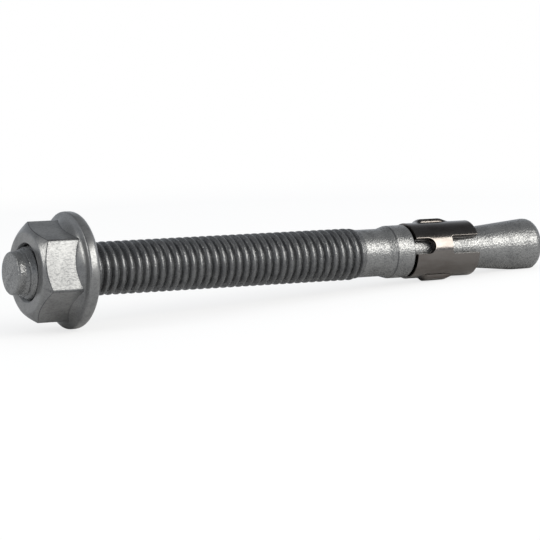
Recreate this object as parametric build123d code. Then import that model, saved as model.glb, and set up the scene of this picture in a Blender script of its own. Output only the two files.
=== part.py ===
from build123d import *
import os
from math import asin, ceil, cos, degrees, floor, pi, radians, tan

# Wedge anchor, M8: one cold-formed bolt, a rolled sheet expansion clip and a hex flange nut.
# The bolt's axis is +X, from the end that the hammer strikes (x = 0) to the cone that goes
# into the hole first. All sizes are in millimetres and all angles in degrees.

# --- Bolt ---------------------------------------------------------------------------------
bolt_length = 88.2
nose_diameter = 6.0
nose_length = 2.3
crest_diameter = 7.75
root_diameter = 6.4
thread_pitch = 1.25
crest_width = 0.34
flank_angle = 30.0
first_crest = 0.23
thread_fade = 1.3
blank_diameter = 7.16
blank_length = 3.9
step_length = 2.3
collar_diameter = 7.95
collar_length = 2.05
collar_chamfer = 0.2
neck_diameter = 5.4
neck_length = 7.45
flare_length = 14.0
cone_diameter = 7.95
cone_land = 0.3
cone_rounding = 1.5

# --- Expansion clip -----------------------------------------------------------------------
clip_length = 10.95
clip_play = 0.3
sheet_thickness = 1.0
cone_clearance = 0.15
clip_edge_break = 0.15
seam_gap = 1.2
notch_width = 2.5
notch_depth = 3.2
slot_width = 2.9
slot_depth = 4.7
lug_height = 0.53
lug_width = 2.5
lug_setback = 2.15
lug_lead = 0.8
lug_flat = 3.0
lug_ramp = 2.1
clip_turn = 15.0

# --- Hex flange nut -----------------------------------------------------------------------
nut_proud = 2.45
nut_height = 8.05
nut_flats = 12.7
top_face_diameter = 11.7
top_chamfer_angle = 36.0
top_chamfer_crown = 40.0
flange_diameter = 16.85
flange_rim = 1.85
flange_slope = 36.0
rim_rounding = 0.3
seat_rounding = 1.0
mouth_diameter = 8.65
mouth_angle = 45.0
flank_clearance = 0.09
crest_clearance = 0.15
nut_turn = 13.0

# --- Construction allowances --------------------------------------------------------------
overlap = 0.05
past = 1.0

# --- Places along the axis, worked back from the cone end ---------------------------------
cone_top = bolt_length - cone_rounding - cone_land
flare_start = cone_top - flare_length
collar_end = flare_start - neck_length
collar_start = collar_end - collar_length
blank_end = collar_start - step_length
thread_end = blank_end - blank_length
clip_front = collar_end + clip_play
clip_rear = clip_front + clip_length
nut_seat = nut_proud + nut_height

# --- Radii --------------------------------------------------------------------------------
nose_radius = nose_diameter / 2
crest_radius = crest_diameter / 2
root_radius = root_diameter / 2
blank_radius = blank_diameter / 2
collar_radius = collar_diameter / 2
neck_radius = neck_diameter / 2
cone_radius = cone_diameter / 2
cone_slope = (cone_radius - neck_radius) / flare_length
clip_bore_radius = neck_radius + cone_slope * (clip_rear - flare_start) + cone_clearance
clip_radius = clip_bore_radius + sheet_thickness
flange_radius = flange_diameter / 2
mouth_radius = mouth_diameter / 2
nut_minor_radius = root_radius + crest_clearance
nut_major_radius = crest_radius + crest_clearance


def turned(points):
    """A solid of revolution about the axis, from the (x, radius) points of its outline."""
    return revolve(make_face(Polyline(*points, close=True)), Axis.X)


def sector(points, arc, middle):
    """The same outline turned through an arc, centred on an angle from +Y towards +Z."""
    piece = revolve(make_face(Polyline(*points, close=True)), Axis.X, arc)
    return Rot(middle - arc / 2, 0, 0) * piece


def arc_of(width, radius):
    """The angle that a chord of this width spans at this radius."""
    return 2 * degrees(asin(width / 2 / radius))


# --- Thread -------------------------------------------------------------------------------
def ridge_width(radius):
    """The axial width of the bolt's thread ridge at a radius."""
    return crest_width + 2 * tan(radians(flank_angle)) * (crest_radius - radius)


def thread_ridge(start, length, low_radius, high_radius, extra_width=0.0):
    """A right-hand helical ridge with straight flanks, made one turn at a time and closed."""
    low_half = (ridge_width(low_radius) + extra_width) / 2
    high_half = (ridge_width(high_radius) + extra_width) / 2
    sides = (-low_half, -high_half, high_half, low_half)
    radii = (low_radius, high_radius, high_radius, low_radius)
    faces = []
    for turn in range(ceil(length / thread_pitch)):
        x = start + turn * thread_pitch
        edges = [
            Pos(x + side, 0, 0) * Rot(0, 90, 0) * Helix(thread_pitch, thread_pitch, radius)
            for side, radius in zip(sides, radii)
        ]
        faces += [Face.make_surface_from_curves(a, b) for a, b in zip(edges, edges[1:] + edges[:1])]
        if turn == 0:
            faces.append(Face(Wire.make_polygon([edge @ 0 for edge in edges])))
    faces.append(Face(Wire.make_polygon([edge @ 1 for edge in edges])))
    return Solid(Shell(faces))


def bolt_thread():
    """The rolled thread, cut to a cone at the nose and run out where the blank shank starts."""
    start = first_crest - thread_pitch
    ridge = thread_ridge(start, thread_end - start, root_radius - overlap, crest_radius)
    limits = turned([
        (0, 0),
        (0, nose_radius),
        (nose_length, crest_radius),
        (nose_length, crest_radius + past),
        (thread_end - thread_fade, crest_radius + past),
        (thread_end - thread_fade, crest_radius),
        (thread_end, root_radius),
        (thread_end, 0),
    ])
    return ridge & limits


# --- Bolt ---------------------------------------------------------------------------------
def bolt_core():
    """The bolt without its thread: nose, blank shank, step, collar, neck and flared cone."""
    root_start = nose_length * (root_radius - nose_radius) / (crest_radius - nose_radius)
    outline = make_face(Polyline(
        (0, 0),
        (0, nose_radius),
        (root_start, root_radius),
        (thread_end - thread_fade, root_radius),
        (thread_end, blank_radius),
        (blank_end, blank_radius),
        (collar_start, collar_radius),
        (collar_end - collar_chamfer, collar_radius),
        (collar_end, collar_radius - collar_chamfer),
        (collar_end, neck_radius),
        (flare_start, neck_radius),
        (cone_top, cone_radius),
        (bolt_length, cone_radius),
        (bolt_length, 0),
        close=True,
    ))
    rim = outline.vertices().sort_by_distance((bolt_length, cone_radius))[0]
    return revolve(fillet(rim, cone_rounding), Axis.X)


def bolt():
    """The anchor bolt, one forging."""
    return bolt_core() + bolt_thread()


# --- Expansion clip -----------------------------------------------------------------------
def lug(radius, height, width, inset, middle):
    """One embossed lug: a steep lead, a flat and a long ramp, standing up from a radius."""
    start = clip_front + lug_setback + inset
    end = clip_front + lug_setback + lug_lead + lug_flat + lug_ramp - inset
    outline = [
        (start, radius - overlap),
        (start, radius),
        (start + lug_lead, radius + height),
        (start + lug_lead + lug_flat - inset, radius + height),
        (end, radius),
        (end, radius - overlap),
    ]
    return sector(outline, arc_of(width, radius), middle)


def clip():
    """The C-shaped sleeve of rolled sheet, with its notch, slot, two lugs and open seam."""
    slot_middle = 180 - clip_turn
    outer = [
        (clip_front, clip_bore_radius),
        (clip_front, clip_radius - clip_edge_break),
        (clip_front + clip_edge_break, clip_radius),
        (clip_rear - clip_edge_break, clip_radius),
        (clip_rear, clip_radius - clip_edge_break),
        (clip_rear, clip_bore_radius),
    ]
    sleeve = turned(outer)
    dent_width = lug_width * clip_bore_radius / clip_radius
    for side in (-90, 90):
        sleeve += lug(clip_radius, lug_height, lug_width, 0, slot_middle + side)
        sleeve -= lug(clip_bore_radius, lug_height, dent_width, lug_lead, slot_middle + side)
    reach = clip_radius + past
    end = clip_rear + past
    for start, width, middle in (
        (clip_rear - slot_depth, slot_width, slot_middle),
        (clip_front - past, seam_gap, slot_middle + 180),
    ):
        cut = [(start, neck_radius), (start, reach), (end, reach), (end, neck_radius)]
        sleeve -= sector(cut, arc_of(width, clip_radius), middle)
    notch = Cylinder(notch_width / 2, reach, align=(Align.CENTER, Align.CENTER, Align.MIN))
    notch += Box(notch_depth + past, notch_width, reach, align=(Align.MAX, Align.CENTER, Align.MIN))
    notch_end = Pos(clip_front + notch_depth - notch_width / 2, 0, 0)
    return sleeve - Rot(slot_middle - 90, 0, 0) * notch_end * notch


# --- Nut ----------------------------------------------------------------------------------
def nut_hex():
    """The hexagon with its slightly crowned top chamfer."""
    reach = nut_flats / 2 / cos(pi / 6) + past
    outline = RegularPolygon(nut_flats / 2, 6, major_radius=False, rotation=30 - nut_turn)
    prism = extrude(Plane.YZ.offset(nut_proud) * outline, nut_height - flange_rim)
    top_edge = (nut_proud, top_face_diameter / 2)
    low_edge = (nut_proud + (reach - top_face_diameter / 2) * tan(radians(top_chamfer_angle)), reach)
    crown = RadiusArc(top_edge, low_edge, top_chamfer_crown)
    sides = Polyline(low_edge, (nut_seat, reach), (nut_seat, 0), (nut_proud, 0), top_edge)
    return prism & revolve(make_face([crown, sides]), Axis.X)


def nut_flange():
    """The round flange: flat seat, rounded rim and a conical back that runs into the hexagon."""
    rim_front = nut_seat - flange_rim
    back = rim_front - flange_radius * tan(radians(flange_slope))
    outline = make_face(Polyline(
        (back, 0),
        (rim_front, flange_radius),
        (nut_seat, flange_radius),
        (nut_seat, 0),
        close=True,
    ))
    front_corner = outline.vertices().sort_by_distance((rim_front, flange_radius))[0]
    outline = fillet(front_corner, rim_rounding)
    seat_corner = outline.vertices().sort_by_distance((nut_seat, flange_radius))[0]
    return revolve(fillet(seat_corner, seat_rounding), Axis.X)


def nut_bore():
    """What is taken out of the nut: the minor bore, both mouths and the thread's groove."""
    mouth_depth = (mouth_radius - nut_minor_radius) / tan(radians(mouth_angle))
    flare = past / tan(radians(mouth_angle))
    tool = turned([
        (nut_proud - flare, 0),
        (nut_proud - flare, mouth_radius + past),
        (nut_proud + mouth_depth, nut_minor_radius),
        (nut_seat - mouth_depth, nut_minor_radius),
        (nut_seat + flare, mouth_radius + past),
        (nut_seat + flare, 0),
    ])
    start = first_crest + thread_pitch * floor((nut_proud - first_crest) / thread_pitch)
    both_gaps = 2 * flank_clearance / cos(radians(flank_angle))
    groove = thread_ridge(start, nut_seat - start, nut_minor_radius - overlap, nut_major_radius, both_gaps)
    return tool + groove


def nut():
    """The hex nut with its flange, in one piece."""
    return nut_hex() + nut_flange() - nut_bore()


os.makedirs("parts", exist_ok=True)
for name, piece in (("bolt", bolt()), ("clip", clip()), ("nut", nut())):
    export_step(piece, f"parts/{name}.step")
    print(name, round(piece.volume, 2), "mm3,", len(piece.solids()), "solid")
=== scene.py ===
# %% [markdown]
# # A wedge anchor, from a turned bar to a studio shot
#
# A wedge anchor fixes something to concrete. It has three pieces: a bolt with a thread at
# one end and a cone at the other, a clip of rolled sheet round its neck, and a hex nut with
# a flange. The bolt is hammered into a drilled hole, and turning the nut draws the cone
# into the clip, which spreads against the wall of the hole.
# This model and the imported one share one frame: the bolt's axis is +X and the struck end is
# at x = 0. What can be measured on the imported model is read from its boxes. The anchor's
# other sizes are those that a drawing of it would carry, in millimetres. The studio round
# it, with its floor, lights and camera, is in metres.

# %% The frame
from math import atan, atan2, cos, degrees, pi, radians, sin, sqrt, tan

import bpy
from mathutils import Matrix, Vector


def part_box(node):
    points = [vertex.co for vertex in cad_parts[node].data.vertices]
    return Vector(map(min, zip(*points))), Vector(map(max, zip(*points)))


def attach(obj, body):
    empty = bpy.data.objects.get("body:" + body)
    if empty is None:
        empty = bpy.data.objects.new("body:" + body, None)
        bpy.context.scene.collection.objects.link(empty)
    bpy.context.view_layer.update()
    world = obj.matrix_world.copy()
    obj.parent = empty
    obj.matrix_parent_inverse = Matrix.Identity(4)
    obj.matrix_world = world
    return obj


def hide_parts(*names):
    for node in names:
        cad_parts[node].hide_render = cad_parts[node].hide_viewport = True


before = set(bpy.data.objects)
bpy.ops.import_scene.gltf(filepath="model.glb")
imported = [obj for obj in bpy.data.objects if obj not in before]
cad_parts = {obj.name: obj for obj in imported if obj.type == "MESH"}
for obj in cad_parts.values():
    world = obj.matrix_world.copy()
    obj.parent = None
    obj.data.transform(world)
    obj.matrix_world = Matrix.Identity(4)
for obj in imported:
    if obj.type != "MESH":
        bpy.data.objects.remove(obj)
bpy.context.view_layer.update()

MM = 0.001
bolt_low, bolt_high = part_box("bolt")
nut_low, nut_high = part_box("nut")
clip_low, clip_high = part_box("clip")
print("bolt from", round(bolt_low.x / MM, 2), "to", round(bolt_high.x / MM, 2), "mm")

# %% [markdown]
# ## Wiring up node trees
# Every tree below, for shapes and for finishes, is wired with the same few helpers. They
# could be wired by hand, but the links would soon be hard to follow. Here a value that is a
# number goes on the socket, and anything else is linked to it.

# %% Helpers for all trees
def plug(tree, socket, value):
    """Links an output to a socket, or sets the socket's constant."""
    if isinstance(value, bpy.types.NodeSocket):
        tree.links.new(value, socket)
    else:
        socket.default_value = value


def add(tree, kind, inputs, **settings):
    """A new node with its settings, and its inputs given by name or number."""
    made = tree.nodes.new(kind)
    for name, value in settings.items():
        setattr(made, name, value)
    for key, value in inputs.items():
        plug(tree, made.inputs[key], value)
    return made


def calculate(tree, operation, *values):
    """One step of arithmetic in a tree."""
    return add(tree, "ShaderNodeMath", dict(enumerate(values)), operation=operation).outputs[0]


def ramp(tree, value, start, end, first, last):
    """A value taken smoothly from one range to another, and held at both ends."""
    ends = {"Value": value, "From Min": start, "From Max": end, "To Min": first, "To Max": last}
    return add(tree, "ShaderNodeMapRange", ends, interpolation_type="SMOOTHSTEP").outputs["Result"]


def blend(tree, share, first, second):
    """Two numbers mixed by a share."""
    return add(tree, "ShaderNodeMix", {"Factor": share, "A": first, "B": second}).outputs[0]


def blend_colour(tree, share, first, second):
    """Two colours mixed by a share."""
    mix = add(tree, "ShaderNodeMix", {}, data_type="RGBA")
    colours = [s for s in mix.inputs if s.type == "RGBA"]
    plug(tree, mix.inputs["Factor"], share)
    plug(tree, colours[0], first)
    plug(tree, colours[1], second)
    return next(s for s in mix.outputs if s.type == "RGBA")


print("helpers for node trees")

# %% Helpers for shape trees
def shape_tree(name, sizes):
    """An empty Geometry Nodes tree with an input for each size, and the outputs of its input node."""
    tree = bpy.data.node_groups.new(name, "GeometryNodeTree")
    tree.interface.new_socket("Geometry", in_out="INPUT", socket_type="NodeSocketGeometry")
    for size in sizes:
        tree.interface.new_socket(size, in_out="INPUT", socket_type="NodeSocketFloat")
    tree.interface.new_socket("Finish", in_out="INPUT", socket_type="NodeSocketMaterial")
    tree.interface.new_socket("Geometry", in_out="OUTPUT", socket_type="NodeSocketGeometry")
    return tree, tree.nodes.new("NodeGroupInput").outputs


def split_position(tree):
    """The x, y and z of each point of the mesh."""
    point = tree.nodes.new("GeometryNodeInputPosition").outputs[0]
    return add(tree, "ShaderNodeSeparateXYZ", {0: point}).outputs


def end_tree(tree, geometry, finish):
    """Ends a shape tree with real geometry that carries its finish."""
    real = add(tree, "GeometryNodeRealizeInstances", {"Geometry": geometry})
    dressed = add(tree, "GeometryNodeSetMaterial", {"Geometry": real.outputs[0], "Material": finish})
    tree.links.new(dressed.outputs[0], tree.nodes.new("NodeGroupOutput").inputs[0])


def apply_tree(blank, tree, values):
    """Puts an object through a tree with these inputs, and keeps the result as its plain mesh."""
    worked = blank.modifiers.new(tree.name, "NODES")
    worked.node_group = tree
    for socket in tree.interface.items_tree:
        if socket.name in values:
            worked[socket.identifier] = values[socket.name]
    evaluated = blank.evaluated_get(bpy.context.evaluated_depsgraph_get())
    mesh = bpy.data.meshes.new_from_object(evaluated)
    blank.modifiers.clear()
    blank.data = mesh


def link_piece(name, mesh):
    """An object at the origin for a mesh."""
    made = bpy.data.objects.new(name, mesh)
    bpy.context.scene.collection.objects.link(made)
    return made


print("helpers for shape trees")

# %% [markdown]
# ## Zinc on the bolt and the nut
# The steel is coated by tumbling it with zinc dust, which leaves a dull, dark grey skin
# with fine grains. It could be a picture of scratched metal, but a picture has seams and
# stretches. Here noise in the piece's own coordinates does it: small grains tilt the
# surface so that a highlight breaks into sparks, and broad clouds change the tone. The
# dust scatters light, so the skin is only partly metallic, and never goes quite black.
# Creases, the bore, the thread and some edges are darker where a mesh attribute says so:
# this is painted shade, with dark lines painted along edges.

# %% Helpers for finishes
# Noise lies mostly between 0.3 and 0.7. A pair of edges says which part of it a ramp uses.
CLOUD_EDGES = (0.4, 0.7)


def finish_tree(name):
    """A new material with an empty tree, and the object's coordinates in millimetres."""
    material = bpy.data.materials.new(name)
    material.use_nodes = True
    tree = material.node_tree
    tree.nodes.clear()
    place = add(tree, "ShaderNodeTexCoord", {}).outputs["Object"]
    place = add(tree, "ShaderNodeVectorMath", {0: place, "Scale": 1 / MM}, operation="SCALE").outputs[0]
    return material, tree, place


def grain(tree, place, size, detail=2.0, roughness=0.5):
    """Noise with grains of about this many millimetres."""
    noise = {"Vector": place, "Scale": 1 / size, "Detail": detail, "Roughness": roughness}
    return add(tree, "ShaderNodeTexNoise", noise).outputs["Fac"]


def cloud(tree, place, size, darkness):
    """Broad soft patches, from 0 to a darkness."""
    patches = grain(tree, place, size, detail=3.0, roughness=0.6)
    return ramp(tree, patches, *CLOUD_EDGES, 0.0, darkness)


def metal(tree, colour, roughness, height, depth, metallic):
    """The shader of a metal skin, with a height map of this depth in millimetres."""
    bump = add(tree, "ShaderNodeBump", {"Height": height, "Distance": depth * MM, "Strength": 1.0})
    skin = {"Base Color": colour, "Roughness": roughness, "Metallic": metallic, "Normal": bump.outputs[0]}
    shader = add(tree, "ShaderNodeBsdfPrincipled", skin)
    output = tree.nodes.new("ShaderNodeOutputMaterial")
    tree.links.new(shader.outputs[0], output.inputs["Surface"])


print("helpers for finishes")

# %% The zinc finish
ZINC = (0.172, 0.173, 0.172, 1.0)
# The dark colour is the tone of the clouds and pits, and also the colour of painted shade.
DARK_ZINC_AND_SHADE = (0.065, 0.066, 0.068, 1.0)
ZINC_METAL = 0.67
ZINC_CLOUD_SIZE = 2.6
ZINC_CLOUD_DARKNESS = 0.35
PIT_EDGES = (0.38, 0.52)
GRAIN_EDGES = (0.35, 0.65)
SCRATCH_LIE = (0.0, radians(40), radians(12))


def zinc_finish(name, grain_size, grain_depth, shine, dull, pitting, stretch):
    """Zinc dust on steel: grains that are dull below and shiny on top, or stretched to scratches."""
    material, tree, place = finish_tree(name)
    lying = {"Vector": place, "Rotation": SCRATCH_LIE, "Scale": (stretch, 1.0, 1.0)}
    grains = grain(tree, add(tree, "ShaderNodeMapping", lying).outputs[0], grain_size, roughness=0.55)
    tone = cloud(tree, place, ZINC_CLOUD_SIZE, ZINC_CLOUD_DARKNESS)
    pits = ramp(tree, grains, *PIT_EDGES, pitting, 0.0)
    # The attribute holds painted shade: in creases and the bore, on the thread, and as dark lines along
    # edges.
    painted_shade = add(tree, "ShaderNodeAttribute", {}, attribute_name="painted_shade").outputs["Fac"]
    tone_pits_and_shade = calculate(tree, "ADD", calculate(tree, "ADD", tone, pits), painted_shade)
    colour = blend_colour(tree, calculate(tree, "MINIMUM", tone_pits_and_shade, 1.0), ZINC, DARK_ZINC_AND_SHADE)
    roughness = ramp(tree, grains, *GRAIN_EDGES, dull, shine)
    metal(tree, colour, roughness, grains, grain_depth, ZINC_METAL)
    return material


bolt_zinc = zinc_finish(
    "bolt_zinc", grain_size=0.28, grain_depth=0.065, shine=0.23, dull=0.41, pitting=0.45, stretch=1.0)
nut_zinc = zinc_finish(
    "nut_zinc", grain_size=0.2, grain_depth=0.007, shine=0.28, dull=0.35, pitting=0.3, stretch=0.5)
print("zinc finishes:", bolt_zinc.name, nut_zinc.name)

# %% [markdown]
# ## The clip's steel
# The clip is stainless strip, rolled and hardened, with a smooth brownish skin. It shines
# far more than the zinc, so that it shows one sharp band of light. Its marks run the way
# it was rolled. Anisotropic gloss would be one way to show that, but noise stretched along
# the axis also gives the stains their long shape.

# %% The clip finish
CLIP_STEEL = (0.14, 0.13, 0.122, 1.0)
CLIP_STAIN = (0.096, 0.084, 0.076, 1.0)
STAIN_SIZE = 1.8
STAIN_DARKNESS = 0.7
MARK_SIZE = 0.16
MARK_DEPTH = 0.003
MARK_EDGES = (0.3, 0.7)
MARK_ROUGHNESS = (0.14, 0.2)
ROLLED_STRETCH = (0.35, 1.0, 1.0)


def clip_finish(name):
    """Rolled and hardened strip."""
    material, tree, place = finish_tree(name)
    drawn = add(tree, "ShaderNodeMapping", {"Vector": place, "Scale": ROLLED_STRETCH}).outputs[0]
    colour = blend_colour(tree, cloud(tree, drawn, STAIN_SIZE, STAIN_DARKNESS), CLIP_STEEL, CLIP_STAIN)
    marks = grain(tree, drawn, MARK_SIZE)
    roughness = ramp(tree, marks, *MARK_EDGES, *MARK_ROUGHNESS)
    metal(tree, colour, roughness, marks, MARK_DEPTH, metallic=1.0)
    return material


clip_steel = clip_finish("clip_steel")
print("clip finish:", clip_steel.name)

# %% [markdown]
# ## Turned blanks
# The bolt and the nut are round pieces first. A lathe makes such a piece from one outline,
# and so do these functions: they carry an outline of (x, radius) points round the axis in
# equal steps. A Screw modifier would do the same, but here the outline may change with the
# angle, which is how the nut becomes a hexagon. An arc in each corner catches light as a
# real edge does. Angles round the axis start at -Z and go towards +Y.

# %% Outlines
ARC_LIMIT = 0.9


def arc_corner(before, corner, after, radius, steps):
    """Points of an arc that rounds a corner, and leaves a little of the straights beside it."""
    a, b, c = Vector(before), Vector(corner), Vector(after)
    into, out = (a - b).normalized(), (c - b).normalized()
    half = into.angle(out) / 2
    reach = min(radius / tan(half), ARC_LIMIT * (a - b).length, ARC_LIMIT * (c - b).length)
    centre = b + (into + out).normalized() * (reach / cos(half))
    first, last = b + into * reach - centre, b + out * reach - centre
    start = atan2(first.y, first.x)
    sweep = (atan2(last.y, last.x) - start + pi) % (2 * pi) - pi
    angles = [start + sweep * i / steps for i in range(steps + 1)]
    return [centre + first.length * Vector((cos(t), sin(t))) for t in angles]


def spread(start, end, step):
    """Points from one to the other, about a step apart, without the last."""
    start, end = Vector(start), Vector(end)
    count = max(1, round((end - start).length / step))
    return [start.lerp(end, i / count) for i in range(count)]


print("helpers for outlines")

# %% The lathe
TURNED_SHARP = radians(32)


def turns_of(columns):
    """The angles of the columns round the axis."""
    return [2 * pi * j / columns for j in range(columns)]


def turned_point(point, turn):
    """An outline's point carried round the axis to an angle, in metres."""
    x, radius = point
    return x * MM, radius * sin(turn) * MM, -radius * cos(turn) * MM


def ring(point, columns):
    """A ring of points from one point of an outline."""
    return [turned_point(point, turn) for turn in turns_of(columns)]


def band(row, next_row, count):
    """The faces between two rows of points that close round."""
    a, b = row * count, next_row * count
    return [(a + j, a + (j + 1) % count, b + (j + 1) % count, b + j) for j in range(count)]


def mark_points(mesh, name, shares):
    """Gives a mesh a number for each point, under a name."""
    mesh.attributes.new(name, "FLOAT", "POINT").data.foreach_set("value", shares)


def turned_mesh(name, rows, closed_loop, threaded, painted_shade):
    """A closed mesh from rings, each marked as threaded or not and with a share of painted shade per
    point.
    """
    columns, last = len(rows[0]), len(rows) - 1
    faces = [face for i in range(last) for face in band(i, i + 1, columns)]
    if closed_loop:
        faces += band(last, 0, columns)
    else:
        faces.append(tuple(range(columns - 1, -1, -1)))
        faces.append(tuple(last * columns + j for j in range(columns)))
    mesh = bpy.data.meshes.new(name)
    mesh.from_pydata([point for row in rows for point in row], [], faces)
    mark_points(mesh, "threaded", [float(share) for share in threaded for _ in range(columns)])
    mark_points(mesh, "painted_shade", [float(share) for row in painted_shade for share in row])
    mesh.shade_smooth()
    mesh.set_sharp_from_angle(angle=TURNED_SHARP)
    return mesh


print("a lathe for bolt and nut")

# %% [markdown]
# ## The thread
# A thread like this isn't cut. The plain bar rolls between two flat dies, whose ridges
# press the root in and squeeze the crest up. Here the bar is turned as wide as the crest,
# so a tree only has to press its points in, by how far each one is from the nearest crest
# along the axis. A screw made of swept rings would need joining at both ends, and this one
# never leaves the bar. The nut's bore takes the same tree, which presses its groove out.
# The ridge is 1 on the crest and 0 in the root, with a smooth ramp between, from the edge
# of the crest to the end of the flank. A ramp that ends at the root would be round there
# too. One that aims below 0 and is cut off at 0 still comes down steeply, and leaves the
# sharp root of a rolled thread.

# %% The thread's form
def around_axis(tree, y, z):
    """Each point's distance from the axis, and its angle from -Z towards +Y as a share of a turn."""
    squares = calculate(tree, "ADD", calculate(tree, "POWER", y, 2.0), calculate(tree, "POWER", z, 2.0))
    angle = calculate(tree, "ARCTAN2", y, calculate(tree, "MULTIPLY", z, -1.0))
    return calculate(tree, "SQRT", squares), calculate(tree, "DIVIDE", angle, 2 * pi)


def thread_ridge(tree, x, turn, size):
    """The ridge's height from 0 to 1, and 1 all over beyond the run-out."""
    from_first = calculate(tree, "SUBTRACT", x, size["First crest"])
    along = calculate(tree, "DIVIDE", from_first, size["Pitch"])
    phase = calculate(tree, "SUBTRACT", along, turn)
    nearest = calculate(tree, "ROUND", phase)
    off_crest = calculate(tree, "ABSOLUTE", calculate(tree, "SUBTRACT", phase, nearest))
    distance = calculate(tree, "MULTIPLY", off_crest, size["Pitch"])
    ridge = ramp(tree, distance, size["Crest half width"], size["Flank end"], 1.0, size["Root value"])
    ridge = calculate(tree, "MAXIMUM", ridge, 0.0)
    smooth_end = ramp(tree, x, size["Run-out start"], size["Run-out end"], 0.0, 1.0)
    return calculate(tree, "MAXIMUM", ridge, smooth_end)


print("the form of a rolled thread")

# %% The thread die
def thread_die():
    """A tree that rolls a right-hand thread into the marked points of a round bar or bore."""
    tree, size = shape_tree("thread_die", [
        "Pitch", "First crest", "Low radius", "High radius", "Crest half width", "Flank end",
        "Root value", "Run-out start", "Run-out end", "Outwards"])
    x, y, z = split_position(tree)
    radius, turn = around_axis(tree, y, z)
    ridge = thread_ridge(tree, x, turn, size)
    rise = calculate(tree, "SUBTRACT", size["High radius"], size["Low radius"])
    rolled = calculate(tree, "ADD", size["Low radius"], calculate(tree, "MULTIPLY", ridge, rise))
    pressed_in = calculate(tree, "MINIMUM", rolled, radius)
    pressed_out = calculate(tree, "MAXIMUM", rolled, radius)
    wanted = blend(tree, size["Outwards"], pressed_in, pressed_out)
    factor = calculate(tree, "DIVIDE", wanted, radius)
    moved = add(tree, "ShaderNodeCombineXYZ", {
        "X": x,
        "Y": calculate(tree, "MULTIPLY", y, factor),
        "Z": calculate(tree, "MULTIPLY", z, factor),
    })
    marked = add(tree, "GeometryNodeInputNamedAttribute", {"Name": "threaded"}, data_type="FLOAT")
    chosen = calculate(tree, "GREATER_THAN", marked.outputs["Attribute"], 0.5)
    pressed = add(tree, "GeometryNodeSetPosition", {
        "Geometry": size["Geometry"], "Selection": chosen, "Position": moved.outputs[0]})
    end_tree(tree, pressed.outputs[0], size["Finish"])
    return tree


die = thread_die()
print("thread die with", len(die.nodes), "nodes")

# %% [markdown]
# ## The bolt
# The bolt is forged from one bar: a short nose that takes the hammer, the thread, a plain
# shank, a collar that pushes the clip into the hole, a thin neck and the cone. It could be
# modelled from primitives joined by booleans, but their seams would spoil the long
# highlight. The bar is turned first, with close rings where the thread will be, and then
# rolled.

# %% Sizes of the thread
NOSE_RADIUS = 3.12
NOSE_ROUNDING = 0.35
NOSE_LAND = 1.2
NOSE_LENGTH = 2.75
CREST_RADIUS = 3.875
ROOT_RADIUS = 3.2
PITCH = 1.25
FIRST_CREST = 0.23
CREST_HALF = 0.1
FLANK_END = 1.15
ROOT_VALUE = -1.0
RUN_OUT = 1.3
RINGS_PER_PITCH = 14
# The whole thread is painted darker by this share, as shade in its grooves.
THREAD_SHADE = 0.55
print("thread", 2 * CREST_RADIUS, "wide, one turn in", PITCH, "mm")

# %% Sizes of the shank, the collar and the cone
BOLT_LENGTH = bolt_high.x / MM
BLANK_RADIUS = 3.58
BLANK_LENGTH = 3.9
BLANK_ROUNDING = 1.5
STEP_LENGTH = 1.3
COLLAR_LENGTH = 3.05
COLLAR_ROUNDING = 1.0
COLLAR_EDGE = 0.22
NECK_RADIUS = 2.7
NECK_LENGTH = 7.45
NECK_ROUNDING = 0.3
FLARE_LENGTH = 14.0
FLARE_ROUNDING = 3.0
CONE_RADIUS = (bolt_high.y - bolt_low.y) / 2 / MM
CONE_LAND = 0.3
LAND_ROUNDING = 1.2
CONE_ROUNDING = 1.5
# Painted shade: dark lines on both edges of the collar and on the cone's end, and a darker crease at the
# neck.
COLLAR_SHADE = 0.9
COLLAR_EDGE_SHADE = 0.3
NECK_CREASE_SHADE = 0.5
CONE_EDGE_SHADE = 0.2

CONE_TOP = BOLT_LENGTH - CONE_ROUNDING - CONE_LAND
FLARE_START = CONE_TOP - FLARE_LENGTH
COLLAR_END = FLARE_START - NECK_LENGTH
COLLAR_START = COLLAR_END - COLLAR_LENGTH
BLANK_END = COLLAR_START - STEP_LENGTH
THREAD_END = BLANK_END - BLANK_LENGTH
print("thread ends at", round(THREAD_END, 2), "and the neck starts at", round(COLLAR_END, 2))

# %% The bolt's outline
PLAIN_STEP = 0.6
LEAST_STEP = 0.03
SHANK_ARC_STEPS = 6
NOSE_ARC_STEPS = 5

# Each end closes with a small flat cap, and the struck end has one more ring round it.
CAP_RADIUS = 0.2
FACE_RADIUS = 1.5


def nose_face():
    """The flat end that the hammer strikes, with its rounded edge."""
    edge = arc_corner((0, 0), (0, NOSE_RADIUS), (NOSE_LAND, NOSE_RADIUS), NOSE_ROUNDING, NOSE_ARC_STEPS)
    return [Vector((0, CAP_RADIUS)), Vector((0, FACE_RADIUS))] + edge


def bar_to_roll(start):
    """The stretch that takes the thread, from just beyond a start."""
    stations = [(0, NOSE_RADIUS), (NOSE_LAND, NOSE_RADIUS), (NOSE_LENGTH, CREST_RADIUS),
                (THREAD_END - RUN_OUT, CREST_RADIUS), (THREAD_END, BLANK_RADIUS)]
    step = PITCH / RINGS_PER_PITCH
    bar = [point for a, b in zip(stations, stations[1:]) for point in spread(a, b, step)]
    return [point for point in bar if point.x > start + LEAST_STEP]


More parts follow.
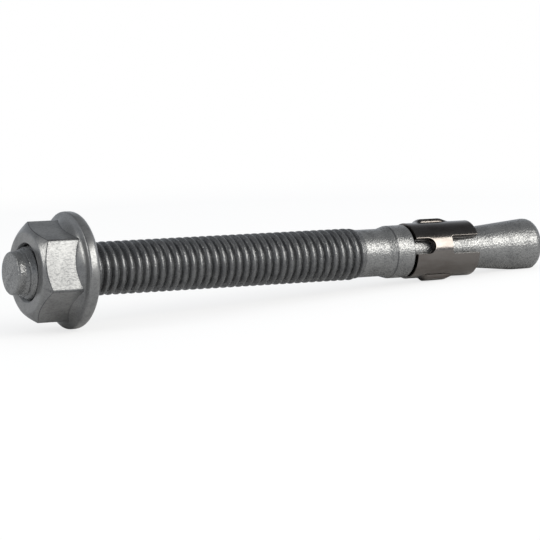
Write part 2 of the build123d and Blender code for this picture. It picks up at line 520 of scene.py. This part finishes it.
def shank_to_cone():
    """From the thread's end to the cone's: the points, and the painted shade at each one.

    Each corner has its place, its rounding and the share of painted shade inside its arc.
    """
    corners = [
        ((THREAD_END, BLANK_RADIUS), 0.0, 0.0),
        ((BLANK_END, BLANK_RADIUS), BLANK_ROUNDING, 0.0),
        ((COLLAR_START, CONE_RADIUS), COLLAR_ROUNDING, COLLAR_SHADE),
        ((COLLAR_END, CONE_RADIUS), COLLAR_EDGE, COLLAR_EDGE_SHADE),
        ((COLLAR_END, NECK_RADIUS), NECK_ROUNDING, NECK_CREASE_SHADE),
        ((FLARE_START, NECK_RADIUS), FLARE_ROUNDING, 0.0),
        ((CONE_TOP, CONE_RADIUS), LAND_ROUNDING, 0.0),
        ((BOLT_LENGTH, CONE_RADIUS), CONE_ROUNDING, CONE_EDGE_SHADE),
        ((BOLT_LENGTH, CAP_RADIUS), 0.0, 0.0),
    ]
    points, painted_shade = [Vector(corners[0][0])], [0.0]
    for (before, *_), (corner, radius, share), (after, *_) in zip(corners, corners[1:], corners[2:]):
        arc = arc_corner(before, corner, after, radius, SHANK_ARC_STEPS)
        straight = spread(points[-1], arc[0], PLAIN_STEP)[1:]
        points += straight + arc
        painted_shade += [0.0] * (len(straight) + 1) + [share] * (len(arc) - 2) + [0.0]
    end = spread(points[-1], corners[-1][0], PLAIN_STEP)[1:] + [Vector(corners[-1][0])]
    return points + end, painted_shade + [0.0] * len(end)


face = nose_face()
rolled = bar_to_roll(face[-1].x)
shank, shank_shade = shank_to_cone()
print("outline of", len(face), "+", len(rolled), "+", len(shank), "points")

# %% The bolt, turned and rolled
BOLT_COLUMNS = 96


def roll_thread(piece, low, high, crest_half, flank_end, root_value, run_out, outwards, finish):
    """Puts a piece through the die. The thread runs out between two places on the axis."""
    apply_tree(piece, die, {
        "Pitch": PITCH * MM, "First crest": FIRST_CREST * MM,
        "Low radius": low * MM, "High radius": high * MM,
        "Crest half width": crest_half * MM, "Flank end": flank_end * MM, "Root value": root_value,
        "Run-out start": run_out[0] * MM, "Run-out end": run_out[1] * MM,
        "Outwards": outwards, "Finish": finish,
    })


bar_rings = [ring(point, BOLT_COLUMNS) for point in face + rolled + shank]
threaded = [False] * len(face) + [True] * len(rolled) + [False] * len(shank)
# Past the nose, the thread's rings get painted shade.
thread_shade = [THREAD_SHADE if point.x > NOSE_LENGTH else 0.0 for point in face + rolled]
painted_shade = [[share] * BOLT_COLUMNS for share in thread_shade + shank_shade]
bolt = link_piece("forged_bolt", turned_mesh("forged_bolt", bar_rings, False, threaded, painted_shade))
roll_thread(
    bolt, low=ROOT_RADIUS, high=CREST_RADIUS, crest_half=CREST_HALF, flank_end=FLANK_END,
    root_value=ROOT_VALUE, run_out=(THREAD_END - RUN_OUT, THREAD_END), outwards=0.0, finish=bolt_zinc)
print("bolt:", len(bolt.data.polygons), "faces")

# %% [markdown]
# ## The nut
# The nut is forged with its flange, and its top is chamfered on a lathe, so the chamfer
# meets the six flats in curves. Cutting a solid hexagon with a cone would give those
# curves, but with edges as sharp as knives. Here the outline is worked out anew at each
# angle: the flat's distance from the axis is known there, and the chamfer and the flange's
# back are straight lines that meet it. The back is a little hollow, with a shallow slope
# at the rim and a steep one at the hexagon. Every outer corner is then rounded, and the
# hexagon's edges, the crease at its root and the bore are marked for painted shade.

# %% Sizes of the nut
NUT_FRONT = nut_low.x / MM
NUT_SEAT = nut_high.x / MM
HALF_FLATS = 6.35
FLAT_ANGLE = 167.0
CORNER_ROUNDING = 0.3
TOP_RADIUS = 5.85
TOP_CHAMFER = 36.0
TOP_ROUNDING = 0.5
EDGE_ROUNDING = 0.18
ROOT_ROUNDING = 0.2
FLANGE_RADIUS = (nut_high.z - nut_low.z) / 2 / MM
FLANGE_RIM = 1.85
RIM_SLOPE = 15.0
RIM_ROUNDING = 0.3
ROOT_SLOPE = 42.0
HOLLOW_RADIUS = 7.4
HOLLOW_ROUNDING = 1.5
SEAT_ROUNDING = 1.0
print("nut", round(NUT_SEAT - NUT_FRONT, 2), "high, flange", round(2 * FLANGE_RADIUS, 2), "wide")

# %% Sizes of the bore, and where the nut gets painted shade
MOUTH_RADIUS = 4.3
MOUTH_ROUNDING = 0.1
BORE_RADIUS = 3.35
GROOVE_RADIUS = 4.025
GROOVE_HALF = 0.27
GROOVE_END = 0.6
# Painted shade: dark lines along the hexagon's edges, a darker crease at its root, and a dark bore.
HEX_EDGE_SHADE = 0.75
ROOT_CREASE_SHADE = 0.4
BORE_SHADE = 1.0
EDGE_SHADE_TURN = radians(2.2)
print("bore", 2 * BORE_RADIUS, "and groove", 2 * GROOVE_RADIUS, "wide")

# %% The hexagon
def from_flat(turn):
    """An angle round the axis, measured from the middle of one flat."""
    return turn - pi / 2 - radians(FLAT_ANGLE)


def corner_nearness(turn):
    """1 at the hexagon's corners, and 0 a little way beside them."""
    beside = abs(from_flat(turn) % (pi / 3) - pi / 6)
    return max(0.0, 1 - beside / EDGE_SHADE_TURN)


def hexagon_radius(turn):
    """How far the hexagon's side is from the axis, its corners rounded."""
    off = abs((from_flat(turn) + pi / 6) % (pi / 3) - pi / 6)
    straight = HALF_FLATS - CORNER_ROUNDING
    if off < atan(straight * tan(pi / 6) / HALF_FLATS):
        return HALF_FLATS / cos(off)
    centre, beside = straight / cos(pi / 6), pi / 6 - off
    return centre * cos(beside) + sqrt(CORNER_ROUNDING ** 2 - (centre * sin(beside)) ** 2)


print("hexagon", round(2 * hexagon_radius(pi / 2 + radians(FLAT_ANGLE)), 2), "across flats")

# %% The nut's outline at one angle
def nut_corners(turn):
    """Its corners from the front mouth round to the bore, where both ends meet.

    Each has its place, its rounding, the steps of its arc, and two shares of painted shade:
    one for the points inside the arc, and one for the arc's two ends.
    """
    side = hexagon_radius(turn)
    shoulder = NUT_FRONT + (side - TOP_RADIUS) * tan(radians(TOP_CHAMFER))
    rim_front = NUT_SEAT - FLANGE_RIM
    hollow = rim_front - (FLANGE_RADIUS - HOLLOW_RADIUS) * tan(radians(RIM_SLOPE))
    root = hollow - (HOLLOW_RADIUS - side) * tan(radians(ROOT_SLOPE))
    mouth = MOUTH_RADIUS - BORE_RADIUS
    # Near the hexagon's corners the painted dark line also covers the ends of the arcs.
    edge = HEX_EDGE_SHADE * corner_nearness(turn)
    return [
        ((NUT_FRONT, MOUTH_RADIUS), MOUTH_ROUNDING, 2, 0.0, 0.0),
        ((NUT_FRONT, TOP_RADIUS), TOP_ROUNDING, 4, 0.0, 0.0),
        ((shoulder, side), EDGE_ROUNDING, 4, HEX_EDGE_SHADE, edge),
        ((root, side), ROOT_ROUNDING, 4, ROOT_CREASE_SHADE, edge),
        ((hollow, HOLLOW_RADIUS), HOLLOW_ROUNDING, 4, 0.0, 0.0),
        ((rim_front, FLANGE_RADIUS), RIM_ROUNDING, 5, 0.0, 0.0),
        ((NUT_SEAT, FLANGE_RADIUS), SEAT_ROUNDING, 6, 0.0, 0.0),
        ((NUT_SEAT, MOUTH_RADIUS), MOUTH_ROUNDING, 2, 0.0, 0.0),
        ((NUT_SEAT - mouth, BORE_RADIUS), 0.0, 0, 0.0, BORE_SHADE),
        ((NUT_FRONT + mouth, BORE_RADIUS), 0.0, 0, 0.0, BORE_SHADE),
    ]


def nut_outline(turn):
    """The rounded outline's points at one angle, and the painted shade at each one."""
    corners = nut_corners(turn)
    points, painted_shade = [], []
    for i, (corner, radius, steps, inside, at_ends) in enumerate(corners):
        before, after = corners[i - 1][0], corners[(i + 1) % len(corners)][0]
        arc = arc_corner(before, corner, after, radius, steps) if steps else [Vector(corner)]
        points += arc
        painted_shade += [at_ends if k in (0, len(arc) - 1) else inside for k in range(len(arc))]
    return points, painted_shade


print("nut outline of", len(nut_outline(0.0)[0]), "points at each angle")

# %% The nut, turned and tapped
NUT_COLUMNS = 288


def nut_rings():
    """Rings of the whole nut, which of them are threaded, and their painted shade. The bore's come before
    the last.
    """
    turns = turns_of(NUT_COLUMNS)
    outlines, shares = zip(*[nut_outline(turn) for turn in turns])
    rings = [[turned_point(p, turn) for p, turn in zip(row, turns)] for row in zip(*outlines)]
    painted_shade = [list(row) for row in zip(*shares)]
    bore_start, bore_end = outlines[0][-2:]
    bore = spread(bore_start, bore_end, PITCH / RINGS_PER_PITCH)[1:]
    inside = [ring(point, NUT_COLUMNS) for point in bore]
    threaded = [False] * (len(rings) - 2) + [True] * (len(inside) + 2)
    # The bore's rings are painted dark, as shade inside the nut.
    painted_shade[-1:-1] = [[BORE_SHADE] * NUT_COLUMNS] * len(inside)
    rings[-1:-1] = inside
    return rings, threaded, painted_shade


rings, threaded, painted_shade = nut_rings()
nut = link_piece("flange_nut", turned_mesh("flange_nut", rings, True, threaded, painted_shade))
# The run-out lies beyond the nut, so that its groove goes right through.
roll_thread(
    nut, low=BORE_RADIUS, high=GROOVE_RADIUS, crest_half=GROOVE_HALF, flank_end=GROOVE_END,
    root_value=0.0, run_out=(2 * NUT_SEAT, 3 * NUT_SEAT), outwards=1.0, finish=nut_zinc)
print("nut:", len(nut.data.polygons), "faces")

# %% [markdown]
# ## The clip
# The clip is stamped flat: a strip with a notch at one end, a slot at the other and two
# lugs pressed up between them. Then it is rolled round the neck, and its ends stay a
# little apart. Modelling it in that order is the easy way too. Cuts in a flat strip need
# only straight punches, and its edges can be bevelled before they are bent. A tree then
# presses the lugs and rolls the strip up.

# %% Sizes of the clip
CLIP_FRONT = clip_low.x / MM
CLIP_REAR = clip_high.x / MM
CLIP_LENGTH = CLIP_REAR - CLIP_FRONT
SHEET = 1.0
CONE_GAP = 0.15
CONE_SLOPE = (CONE_RADIUS - NECK_RADIUS) / FLARE_LENGTH
CLIP_RADIUS = NECK_RADIUS + CONE_SLOPE * (CLIP_REAR - FLARE_START) + CONE_GAP + SHEET
SEAM_GAP = 1.2
STRIP_WIDTH = 2 * pi * CLIP_RADIUS - SEAM_GAP
EDGE_BREAK = 0.13
NOTCH_WIDTH = 2.5
NOTCH_DEPTH = 3.2
SLOT_WIDTH = 2.9
SLOT_DEPTH = 4.7
SLOT_ROUNDING = 0.35
SLOT_ANGLE = 165.0
LUG_HEIGHT = 0.5
LUG_WIDTH = 2.5
LUG_WALL = 0.3
LUG_SETBACK = 2.15
LUG_LEAD = 0.8
LUG_FLAT = 3.0
LUG_RAMP = 2.1
print("clip from", round(CLIP_FRONT, 2), "to", round(CLIP_REAR, 2))
print("clip", round(2 * CLIP_RADIUS, 2), "wide")

# %% The flat strip
CELL = 0.16


def strip_mesh():
    """The strip as a solid: x along the axis, y round it, and z up from the outer face."""
    across, along = round(STRIP_WIDTH / CELL), round(CLIP_LENGTH / CELL)
    rows = []
    for i in range(across + 1):
        y = (i / across - 0.5) * STRIP_WIDTH * MM
        top = [((CLIP_FRONT + CLIP_LENGTH * k / along) * MM, y, 0.0) for k in range(along + 1)]
        rows.append(top + [(x, y, -SHEET * MM) for x, y, _ in reversed(top)])
    count = len(rows[0])
    end = [(k, count - 1 - k, count - 2 - k, k + 1) for k in range(along)]
    faces = [face for i in range(across) for face in band(i, i + 1, count)] + end
    faces += [tuple(across * count + corner for corner in reversed(face)) for face in end]
    mesh = bpy.data.meshes.new("strip")
    mesh.from_pydata([point for row in rows for point in row], [], faces)
    return mesh


strip = link_piece("rolled_clip", strip_mesh())
print("strip:", round(STRIP_WIDTH, 2), "by", round(CLIP_LENGTH, 2), "mm")

# %% The punches
PUNCH_REACH = 1.0
NOTCH_STEPS = 16
SLOT_STEPS = 4


def punch(name, outline):
    """A straight-sided punch from an outline of (x, y) points, taller than the sheet."""
    low, high = -2 * SHEET * MM, SHEET * MM
    count = len(outline)
    points = [(x * MM, y * MM, z) for z in (low, high) for x, y in outline]
    faces = [tuple(range(count - 1, -1, -1)), tuple(range(count, 2 * count))]
    faces += band(0, 1, count)
    mesh = bpy.data.meshes.new(name)
    mesh.from_pydata(points, [], faces)
    return link_piece(name, mesh)


def notch_outline():
    """The notch: straight sides and a half-round end."""
    radius = NOTCH_WIDTH / 2
    middle = CLIP_FRONT + NOTCH_DEPTH - radius
    angles = [pi * (i / NOTCH_STEPS - 0.5) for i in range(NOTCH_STEPS + 1)]
    arc = [(middle + radius * cos(angle), radius * sin(angle)) for angle in angles]
    return [(CLIP_FRONT - PUNCH_REACH, -radius)] + arc + [(CLIP_FRONT - PUNCH_REACH, radius)]


def slot_outline():
    """The slot: straight sides and a square end with small round corners."""
    inner, outer, half = CLIP_REAR - SLOT_DEPTH, CLIP_REAR + PUNCH_REACH, SLOT_WIDTH / 2
    corners = [(outer, half), (inner, half), (inner, -half), (outer, -half)]
    points = [corners[0]]
    for before, corner, after in zip(corners, corners[1:], corners[2:]):
        points += [tuple(p) for p in arc_corner(before, corner, after, SLOT_ROUNDING, SLOT_STEPS)]
    return points + [corners[-1]]


punches = [punch("notch_punch", notch_outline()), punch("slot_punch", slot_outline())]
print("punches:", [tool.name for tool in punches])

# %% Punching and breaking the edges
BREAK_ANGLE = radians(50)
BREAK_STEPS = 3

for tool in punches:
    cut = strip.modifiers.new(tool.name, "BOOLEAN")
    cut.operation = "DIFFERENCE"
    cut.solver = "EXACT"
    cut.object = tool
edges = strip.modifiers.new("edges", "BEVEL")
edges.width = EDGE_BREAK * MM
edges.segments = BREAK_STEPS
edges.limit_method = "ANGLE"
edges.angle_limit = BREAK_ANGLE
print("on the strip:", [modifier.name for modifier in strip.modifiers])

# %% The rolling jig
def lug_lift(tree, x, y, size):
    """How far each point of the strip is pressed up into a lug, a quarter turn from the middle."""
    lead_end = calculate(tree, "ADD", size["Lug start"], size["Lug lead"])
    flat_end = calculate(tree, "ADD", lead_end, size["Lug flat"])
    ramp_end = calculate(tree, "ADD", flat_end, size["Lug ramp"])
    rising = ramp(tree, x, size["Lug start"], lead_end, 0.0, 1.0)
    falling = ramp(tree, x, flat_end, ramp_end, 1.0, 0.0)
    quarter = calculate(tree, "MULTIPLY", size["Radius"], pi / 2)
    from_lug = calculate(tree, "SUBTRACT", calculate(tree, "ABSOLUTE", y), quarter)
    beside = calculate(tree, "ABSOLUTE", from_lug)
    wall_foot = calculate(tree, "ADD", size["Lug half width"], size["Lug wall"])
    sides = ramp(tree, beside, size["Lug half width"], wall_foot, 1.0, 0.0)
    pressed = calculate(tree, "MULTIPLY", calculate(tree, "MINIMUM", rising, falling), sides)
    return calculate(tree, "MULTIPLY", pressed, size["Lug height"])


def rolling_jig():
    """A tree that presses two lugs into the flat strip and rolls it round the axis."""
    tree, size = shape_tree("rolling_jig", [
        "Radius", "Middle angle", "Lug start", "Lug lead", "Lug flat", "Lug ramp",
        "Lug half width", "Lug wall", "Lug height"])
    x, y, z = split_position(tree)
    above = calculate(tree, "ADD", z, lug_lift(tree, x, y, size))
    radius = calculate(tree, "ADD", size["Radius"], above)
    off_middle = calculate(tree, "DIVIDE", y, size["Radius"])
    angle = calculate(tree, "SUBTRACT", size["Middle angle"], off_middle)
    rolled = add(tree, "ShaderNodeCombineXYZ", {
        "X": x,
        "Y": calculate(tree, "MULTIPLY", radius, calculate(tree, "COSINE", angle)),
        "Z": calculate(tree, "MULTIPLY", radius, calculate(tree, "SINE", angle)),
    })
    round_clip = add(tree, "GeometryNodeSetPosition", {
        "Geometry": size["Geometry"], "Position": rolled.outputs[0]})
    end_tree(tree, round_clip.outputs[0], size["Finish"])
    return tree


jig = rolling_jig()
print("rolling jig with", len(jig.nodes), "nodes")

# %% The clip, rolled
CLIP_SHARP = radians(40)

clip = strip
apply_tree(clip, jig, {
    "Radius": CLIP_RADIUS * MM, "Middle angle": radians(SLOT_ANGLE),
    "Lug start": (CLIP_FRONT + LUG_SETBACK) * MM, "Lug lead": LUG_LEAD * MM,
    "Lug flat": LUG_FLAT * MM, "Lug ramp": LUG_RAMP * MM,
    "Lug half width": (LUG_WIDTH / 2 - LUG_WALL) * MM, "Lug wall": LUG_WALL * MM,
    "Lug height": LUG_HEIGHT * MM, "Finish": clip_steel,
})
clip.data.shade_smooth()
clip.data.set_sharp_from_angle(angle=CLIP_SHARP)
for tool in punches:
    bpy.data.objects.remove(tool)
print("clip:", len(clip.data.polygons), "faces")

# %% [markdown]
# ## Bodies
# Each piece rides on the body of the imported model that it belongs to, and takes the place
# of that body's plain solid.

# %% Hand the pieces over
pieces = ((bolt, "bolt", "bolt_zinc"), (nut, "nut", "nut_zinc"), (clip, "clip", "clip_steel"))
for piece, node, slot in pieces:
    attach(piece, node)
    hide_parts(node)
    low, high = [Vector(c) for c in (piece.bound_box[0], piece.bound_box[6])]
    print(piece.name, "box", [round(v / MM, 3) for v in low], [round(v / MM, 3) for v in high])

# %% [markdown]
# ## The floor
# The anchor lies on the rim of its flange and on the clip's lower lug, so the floor leans a
# little under it. A white cyclorama could stand behind, but it would bounce light on the
# metal. Here the floor is matt paper that glows white some way off, and glows a little for
# the camera everywhere, which keeps it pale and still shows the soft shadow.

# %% The white paper
WHITE = (1.0, 1.0, 1.0, 1.0)
PAPER = (0.62, 0.61, 0.6, 1.0)
PAPER_FADE = (60.0, 190.0)
PAPER_GLOW = 0.75


def white_paper():
    """Matt paper that turns into plain white light with distance."""
    material, tree, place = finish_tree("white_paper")
    away = add(tree, "ShaderNodeVectorMath", {0: place}, operation="LENGTH").outputs["Value"]
    far = ramp(tree, away, *PAPER_FADE, 0.0, 1.0)
    seen = tree.nodes.new("ShaderNodeLightPath").outputs["Is Camera Ray"]
    share = calculate(tree, "MAXIMUM", far, calculate(tree, "MULTIPLY", seen, PAPER_GLOW))
    matt = add(tree, "ShaderNodeBsdfDiffuse", {"Color": PAPER})
    glow = add(tree, "ShaderNodeEmission", {"Color": WHITE, "Strength": 1.0})
    mixed = add(tree, "ShaderNodeMixShader", {0: share, 1: matt.outputs[0], 2: glow.outputs[0]})
    tree.links.new(mixed.outputs[0], tree.nodes.new("ShaderNodeOutputMaterial").inputs["Surface"])
    return material


paper = white_paper()
print("floor finish:", paper.name)

# %% The floor
FLOOR_HALF = 0.6

# The rim's rounding touches the floor this far before the seat, and the lug stands a little
# to one side of straight down.
RIM_CONTACT = 0.5
lug_tilt = radians(180 - SLOT_ANGLE)
foot_x = CLIP_FRONT + LUG_SETBACK + LUG_LEAD
foot_depth = CLIP_RADIUS + LUG_HEIGHT * cos(lug_tilt)
lean = atan2(FLANGE_RADIUS - foot_depth, foot_x - (NUT_SEAT - RIM_CONTACT))
floor_point = Vector((NUT_SEAT * MM, 0, -FLANGE_RADIUS * MM / cos(lean)))
floor_corners = [(x * FLOOR_HALF, y * FLOOR_HALF, 0) for x, y in ((-1, -1), (1, -1), (1, 1), (-1, 1))]
floor_mesh = bpy.data.meshes.new("floor")
floor_mesh.from_pydata(floor_corners, [], [(0, 1, 2, 3)])
floor = link_piece("floor", floor_mesh)
floor.matrix_world = Matrix.Translation(floor_point) @ Matrix.Rotation(-lean, 4, "Y")
floor.data.materials.append(paper)
print("floor leans", round(degrees(lean), 2), "degrees")

# %% [markdown]
# ## Room and light
# Round metal shows the room more than its own colour. A picture of a studio round the scene
# would do for that, but a few plain ramps are easier to steer. What the metal mirrors is a
# room that is bright at eye level and dark overhead, and what lights everything else is
# bright overhead, as under a skylight. The camera sees plain white. One broad soft light in
# front then gives the long highlight, and a small one beyond the struck end puts sparks on
# the nose and lights the nut's chamfer.

# %% The room
MIRRORED_ROOM = (0.2, 0.85, 0.75, 0.17)
LIGHTING_ROOM = (-0.2, 0.8, 0.4, 1.15)
COOL_WHITE = (0.95, 1.0, 1.07, 1.0)

world = bpy.data.worlds.new("room")
bpy.context.scene.world = world
world.use_nodes = True
tree = world.node_tree
tree.nodes.clear()
path = tree.nodes.new("ShaderNodeLightPath").outputs
way = add(tree, "ShaderNodeSeparateXYZ", {0: add(tree, "ShaderNodeTexCoord", {}).outputs["Generated"]})
mirrored = ramp(tree, way.outputs["Z"], *MIRRORED_ROOM)
lighting = ramp(tree, way.outputs["Z"], *LIGHTING_ROOM)
in_mirror = calculate(tree, "MAXIMUM", path["Is Glossy Ray"], path["Is Transmission Ray"])
strength = blend(tree, in_mirror, lighting, mirrored)
strength = blend(tree, path["Is Camera Ray"], strength, 1.0)
colour = blend_colour(tree, path["Is Camera Ray"], COOL_WHITE, WHITE)
room = add(tree, "ShaderNodeBackground", {"Color": colour, "Strength": strength})
tree.links.new(room.outputs[0], tree.nodes.new("ShaderNodeOutputWorld").inputs["Surface"])
print("room lights with", LIGHTING_ROOM[2:], "and mirrors with", MIRRORED_ROOM[2:], "from low to high")

# %% The lights
WARM_WHITE = (1.0, 0.98, 0.93)
LIGHT_TARGET = Vector((0.045, 0, 0))


def way_to(azimuth, elevation):
    """The direction of a place seen from the anchor: azimuth 0 is -Y, and 90 is +X."""
    a, e = radians(azimuth), radians(elevation)
    return Vector((sin(a) * cos(e), -cos(a) * cos(e), sin(e)))


def soft_light(name, azimuth, elevation, distance, width, height, strength):
    """A rectangular soft light aimed at the middle of the anchor."""
    lamp = bpy.data.lights.new(name, "AREA")
    lamp.shape = "RECTANGLE"
    lamp.size, lamp.size_y = width, height
    lamp.energy = strength * width * height * pi
    lamp.color = WARM_WHITE
    made = bpy.data.objects.new(name, lamp)
    bpy.context.scene.collection.objects.link(made)
    way = way_to(azimuth, elevation)
    made.location = LIGHT_TARGET + way * distance
    made.rotation_mode = "QUATERNION"
    made.rotation_quaternion = way.to_track_quat("Z", "Y")


soft_light("key_light", azimuth=34, elevation=27, distance=0.5, width=0.44, height=0.29, strength=8.5)
soft_light("nose_light", azimuth=-94, elevation=20, distance=0.4, width=0.13, height=0.13, strength=9.0)
print("lights:", [light.name for light in bpy.data.lights])

# %% [markdown]
# ## The camera
# A long lens from a low place in front keeps the bolt's sides nearly parallel. It could be
# aimed with a constraint, but its own three directions, written as a matrix, are exact.

# %% The camera
CAMERA_AZIMUTH = -28.94
CAMERA_ELEVATION = 6.16
CAMERA_DISTANCE = 0.460
CAMERA_LENS = 207.3
CAMERA_SENSOR = 36.0
CAMERA_NEAREST = 0.01
CAMERA_TARGET = Vector((0.04202, 0.0, -0.00168))

back = way_to(CAMERA_AZIMUTH, CAMERA_ELEVATION)
right = Vector((cos(radians(CAMERA_AZIMUTH)), sin(radians(CAMERA_AZIMUTH)), 0))
up = back.cross(right)
turned = Matrix((right, up, back)).transposed().to_4x4()
camera = bpy.data.objects.new("camera", bpy.data.cameras.new("camera"))
bpy.context.scene.collection.objects.link(camera)
camera.data.sensor_width = CAMERA_SENSOR
camera.data.lens = CAMERA_LENS
camera.data.clip_start = CAMERA_NEAREST
camera.matrix_world = Matrix.Translation(CAMERA_TARGET + back * CAMERA_DISTANCE) @ turned
bpy.context.scene.camera = camera
bpy.context.scene.view_settings.view_transform = "Standard"
print("camera at", [round(v, 4) for v in camera.location])
